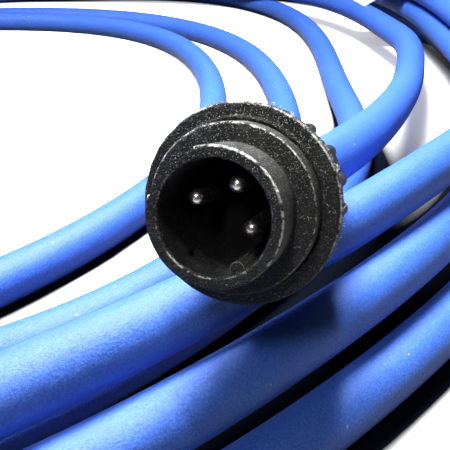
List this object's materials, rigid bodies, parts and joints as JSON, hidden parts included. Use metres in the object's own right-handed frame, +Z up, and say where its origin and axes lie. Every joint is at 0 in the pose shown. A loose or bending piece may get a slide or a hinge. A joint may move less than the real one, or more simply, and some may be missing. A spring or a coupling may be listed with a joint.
{
  "type": "coiled microphone cable",
  "caption": "Thick blue microphone cable wound into a tied coil, with a black three-pin plug on one end and a latching socket plug on the other.",
  "frame": {"origin": "middle of the coil's bounding box, on the floor that the coil lies on", "axes": "+Z up from the floor; -Y towards the side where the three-pin plug lies; +X to the right, seen from that side"},
  "size_m": [0.501, 0.5778, 0.0723],
  "materials": {
    "cable_jacket": "matte",
    "shell_plastic": "rough",
    "insulator": "matte",
    "contact_metal": "polished",
    "wire": "satin",
    "clamp_plastic": "satin",
    "boot_rubber": "matte",
    "tape": "satin",
    "spring_steel": "polished"
  },
  "bodies": {
    "cable": {"cable_coil": "cable_jacket", "male_lead": "cable_jacket", "female_lead": "cable_jacket", "coil_tie": "tape", "male_shell": "shell_plastic", "male_backshell": "shell_plastic", "male_insert": "insulator", "male_pin_1": "contact_metal", "male_pin_2": "contact_metal", "male_pin_3": "contact_metal", "male_core_1": "wire", "male_core_2": "wire", "male_core_3": "wire", "male_cable_clamp": "clamp_plastic", "male_boot": "boot_rubber", "male_cable_end": "cable_jacket", "female_shell": "shell_plastic", "female_backshell": "shell_plastic", "female_insert": "insulator", "female_socket_1": "contact_metal", "female_socket_2": "contact_metal", "female_socket_3": "contact_metal", "female_core_1": "wire", "female_core_2": "wire", "female_core_3": "wire", "female_cable_clamp": "clamp_plastic", "female_boot": "boot_rubber", "female_cable_end": "cable_jacket", "latch_spring": "spring_steel"},
    "latch": {"latch_button": "shell_plastic"}
  },
  "joints": [
    {"name": "latch_press", "type": "slide", "parent": "cable", "child": "latch", "axis": [0, 0, -1], "range_m": [0, 0.0018], "stiffness_N_per_m": 1500, "springref_m": -0.0005, "deforming": ["latch_spring"]}
  ]
}
